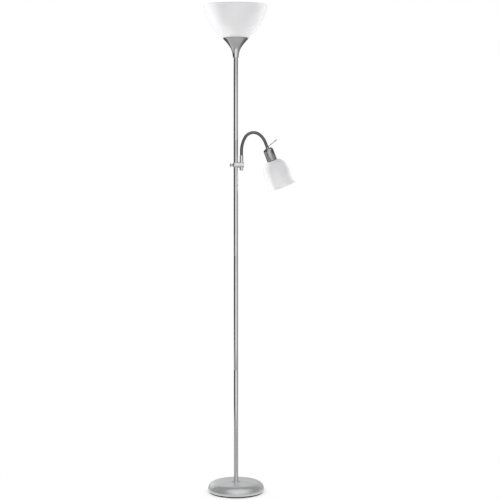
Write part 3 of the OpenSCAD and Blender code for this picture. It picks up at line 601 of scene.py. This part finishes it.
def bowl_line():
    """The bowl's outside: one arc from its foot to its rim."""
    start, end, turn = Vector((46, BOWL_FOOT + 1.1)), Vector((115.1, 1800)), math.radians(47)
    chord = end - start
    lean = math.atan2(chord.x, chord.y)
    radius = chord.length / (2 * math.sin(turn / 2))
    first, last = lean + turn / 2, lean - turn / 2
    centre = start + radius * Vector((-math.cos(first), math.sin(first)))
    return [(centre.x + radius * math.cos(-first + (first - last) * i / 32),
             centre.y + radius * math.sin(-first + (first - last) * i / 32)) for i in range(33)]


# The flexible tube and its lead

# x, z and heading where the tube starts in its sleeve, then (length, turn) of each run along it
NECK_START = (21.2, 1237.9, 0.0)
NECK_END = 18.4
NECK_RUNS = [(31.0, 0.0), (math.radians(30) * 99, 30.0), (math.radians(98) * 37, 98.0),
             (math.radians(30.6) * 70, 30.6), (NECK_END, 0.0)]
NECK_LENGTH = sum(run[0] for run in NECK_RUNS)
# How far along the tube each of the four bends is
TO_CROWN = NECK_RUNS[0][0] + NECK_RUNS[1][0]
BENDS = [TO_CROWN, TO_CROWN + NECK_RUNS[2][0] * 60 / 98, TO_CROWN + NECK_RUNS[2][0],
         NECK_LENGTH - NECK_END]


def neck_place(along):
    """x, z and heading on the tube's centre line, at a length from its hidden end."""
    x, z, heading = NECK_START
    for length, turn in NECK_RUNS:
        part = min(along, length)
        if turn == 0:
            x, z = x + part * math.sin(math.radians(heading)), z + part * math.cos(math.radians(heading))
        else:
            radius = length / math.radians(turn)
            swung = heading + turn * part / length
            x += radius * (math.cos(math.radians(heading)) - math.cos(math.radians(swung)))
            z += radius * (math.sin(math.radians(swung)) - math.sin(math.radians(heading)))
            heading = swung
        along -= part
        if along <= 0:
            break
    return (x + max(along, 0) * math.sin(math.radians(heading)),
            z + max(along, 0) * math.cos(math.radians(heading)), heading)


def on_neck(mesh):
    """Lays a straight piece, drawn along Z in metres, onto the centre line."""
    for vert in mesh.verts:
        x, z, heading = neck_place(vert.co.z / MM)
        side, across = vert.co.x, vert.co.y
        c, s = math.cos(math.radians(heading)), math.sin(math.radians(heading))
        vert.co = Vector((x * MM + side * c, across, z * MM - side * s))


def neck_length(name, start, end, slot, winding):
    """One length of the tube: a spun tube, whose skin is then raised in a winding, or a plain lead."""
    mesh = bmesh.new()
    radius = HOSE_R if winding else LEAD_R
    rise = 0.25 if winding else 4
    count = round((end - start) / rise)
    outline(mesh, [(radius, start + (end - start) * i / count) for i in range(count + 1)], False)
    spun(mesh, 32 if winding else 12)
    bmesh.ops.remove_doubles(mesh, verts=mesh.verts, dist=1e-6)
    if winding:
        wound(mesh, start - 1, end + 1, 1.8, HOSE_R - 0.15, HOSE_R, 0.5)
    bmesh.ops.recalc_face_normals(mesh, faces=mesh.faces)
    on_neck(mesh)
    return settle(name, mesh, None, slot, smooth=75)


def neck_pieces():
    halfway = [0] + [(BENDS[i] + BENDS[i + 1]) / 2 for i in range(3)] + [NECK_LENGTH]
    reach = [17, 11, 11, 16]
    solids = [["gooseneck_1"], ["gooseneck_2"], ["gooseneck_3"], ["gooseneck_4", "gooseneck_5"]]
    for i in range(4):
        first, last = [neck_place(BENDS[i] + side * reach[i]) for side in (-1, 1)]
        low, high = halfway[i], halfway[i + 1]
        hose = neck_length(f"neck_winding_{i + 1}", low, high, "dark_steel", True)
        lead = neck_length(f"neck_lead_{i + 1}", low, high + (11 if i == 3 else 0), "black_lead", False)
        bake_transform(hose)
        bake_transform(lead)
        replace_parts(hose, *solids[i])
        if i == 0:
            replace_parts(lead, "arm_lead")


# Reading head, drawn from the cap's top with +Z down to the mouth

COLLAR_THICK = 3
end_x, end_z, end_heading = neck_place(NECK_LENGTH + COLLAR_THICK)
end_sin, end_cos = math.sin(math.radians(end_heading)), math.cos(math.radians(end_heading))
HEAD = place_on_axis((end_x, 0, end_z), (end_sin, 0, end_cos), (end_cos, 0, -end_sin))


def reading_pieces():
    shoulder = bent((8.1, 0), (13.9, 0), (CAP_R, 4.7), (CAP_R, 10.5), 12)
    mouth = [(CAP_R, CAP_TALL - 0.6), (CAP_R - 0.4, CAP_TALL)]
    cap = turned("reading_cover", [(5.25, 0)] + shoulder + mouth, "head", "gunmetal", HEAD, closed=False)
    sheet_wall(cap, 0.9)
    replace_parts(cap, "reading_cap")

    top = 48.55
    bell_outside = bent((18.8, 0), (37.7, 4.5), (49, 27.5), (49, 59.2), 22)[:-1] \
        + bent((49, 59.2), (49, 73.4), (45.5, 87.7), (53, 102), 16)
    bell_outside = [(r, z + top) for r, z in bell_outside]
    inside = [p for p in reversed(shifted(bell_outside, SHADE_WALL))
              if top + 3.2 < p[1] < top + 101.2]
    lip = [(52.7, top + 102.6), (51.9, top + 102.8), (51.1, top + 102.3)]
    seat = [(19.6, top + SHADE_WALL), (14.2, top + SHADE_WALL)]
    bell = turned("reading_bell", [(14.2, top)] + bell_outside + lip + inside + seat, "head",
                  "opal_plastic", HEAD, steps=144)
    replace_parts(bell, "reading_shade")

    holder = [(THREAD_BORE_R, 5.8), (8, 5.8), (8, 11.8), (15.6, 17.8), (15.6, 47.05), (18.4, 47.05),
              (18.4, 48.5), (13.4, 48.5)]
    holder = grooved(holder, 48.6, 59, 2, 0.6)
    holder += [(13.4, 59.5), (12.8, 60.55), (7.4, 60.55), (7.4, 33.55), (THREAD_BORE_R, 33.55)]
    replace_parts(turned("lower_holder", holder, "head", "black_plastic", HEAD), "reading_lampholder")
    ring = grip_ring("lower_holder_ring", 13.95, 18.2, 50.8, 6, "head", "black_plastic", HEAD)
    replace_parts(ring, "reading_ring")
    bulb_pieces("lower", "reading_bulb", 34.55, 7, 24, 22.5, 78, 2.8, "head", HEAD)
    cap_screw_piece()
    spindle_piece()


def cap_screw_piece():
    """Small pan-head screw with a cross recess, in the side of the cap."""
    mesh = bmesh.new()
    bmesh.ops.create_cone(mesh, cap_ends=True, segments=32, radius1=2.3 * MM, radius2=2.3 * MM,
                          depth=1.2 * MM, matrix=Matrix.Translation((0, 0, 0.6 * MM)))
    rim = [edge for edge in mesh.edges if all(vert.co.z > 1.1 * MM for vert in edge.verts)]
    bmesh.ops.bevel(mesh, geom=rim, offset=0.5 * MM, segments=4, profile=0.5, affect="EDGES", material=-1)
    for across in (-1.3, -0.3, 0.3, 1.3):
        for normal in ((1, 0, 0), (0, 1, 0)):
            bmesh.ops.bisect_plane(mesh, geom=mesh.verts[:] + mesh.edges[:] + mesh.faces[:],
                                   plane_co=Vector(normal) * across * MM, plane_no=normal)
    recess = []
    for face in mesh.faces:
        near, far = sorted((abs(face.calc_center_median().x), abs(face.calc_center_median().y)))
        if face.normal.z > 0.99 and near < 0.3 * MM and far < 1.3 * MM:
            recess.append(face)
    sunk = bmesh.ops.extrude_face_region(mesh, geom=recess)["geom"]
    bmesh.ops.delete(mesh, geom=recess, context="FACES")
    for vert in (part for part in sunk if isinstance(part, bmesh.types.BMVert)):
        vert.co.z -= 0.6 * MM
    turn = math.radians(28)
    outwards = Vector((-math.sin(turn), -math.cos(turn), 0))
    seat = HEAD @ place_on_axis(CAP_R * outwards + Vector((0, 0, 35)), outwards, (0, 0, 1))
    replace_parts(settle("cap_screw_head", mesh, "head", "chrome", seat), "cap_screw")


def spindle_piece():
    """The switch's spindle: a plain rod with a fluted tip."""
    lean = math.radians(-108)
    axis = Vector((math.sin(lean), 0, math.cos(lean)))
    seat = HEAD @ place_on_axis((0, 11.2, -1.2), axis, (0, 1, 0))
    rod = [(0, -2.4), (1.4, -2.4), (1.4, 41), (1.7, 41.4), (2.2, 42)]
    rod += [(2.2, 42 + 0.5 * i) for i in range(1, 10)] + [(2.2, 46.9), (1.4, 47.7), (0, 47.7)]
    mesh = bmesh.new()
    outline(mesh, rod, False)
    spun(mesh, 36)
    for vert in mesh.verts:
        if 42.2 * MM < vert.co.z < 46.6 * MM:
            turn = math.atan2(vert.co.y, vert.co.x)
            size = 1 - 0.1 * (0.5 + 0.5 * math.cos(18 * turn))
            vert.co.x, vert.co.y = vert.co.x * size, vert.co.y * size
    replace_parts(settle("switch_rod", mesh, "switch", "gunmetal", seat), "switch_spindle")


# Thumb screw

def thumb_screw_pieces():
    """A threaded shank with a hub, and a flat bar with round ends for finger and thumb."""
    low, high = [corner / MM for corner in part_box("clamp_screw")]
    height = (low.z + high.z) / 2
    seat = place_on_axis((0, 0, height), (-1, 0, 0), (0, 0, 1))
    stem = grooved([(0, 8.4), (1.4, 8.4), (2, 9)], 9.2, 16.2, 0.7, 0.25)
    stem += [(2, 16.2), (2.8, 16.2), (2.8, 22.6), (0, 22.6)]
    screw = turned("thumb_screw_stem", stem, "screw", "gunmetal", seat, closed=False, steps=32)
    mesh = bmesh.new()
    middle = 19.35 * MM
    lying = Matrix.Translation((0, 0, middle)) @ Matrix.Rotation(math.pi / 2, 4, "X")
    bmesh.ops.create_cone(mesh, cap_ends=True, segments=40, radius1=2.75 * MM, radius2=2.75 * MM,
                          depth=2.4 * MM, matrix=lying)
    for vert in mesh.verts:
        vert.co.x += math.copysign(3.95 * MM, vert.co.x)
    long_edges = [edge for edge in mesh.edges if edge.calc_length() > 5 * MM]
    bmesh.ops.subdivide_edges(mesh, edges=long_edges, cuts=9)
    for vert in mesh.verts:
        share = min(abs(vert.co.x) / (3.9 * MM), 1)
        waist = 0.74 + 0.26 * (3 * share ** 2 - 2 * share ** 3)
        vert.co.z = (vert.co.z - middle) * waist + middle
    rim = [edge for edge in mesh.edges if edge.calc_face_angle(0) > math.radians(60)]
    bmesh.ops.bevel(mesh, geom=rim, offset=0.7 * MM, segments=3, profile=0.5, affect="EDGES", material=-1)
    settle("thumb_screw_wings", mesh, "screw", "gunmetal", seat)
    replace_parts(screw, "clamp_screw")


base_pieces()
pole_pieces()
uplighter_pieces()
thumb_screw_pieces()
neck_pieces()
reading_pieces()
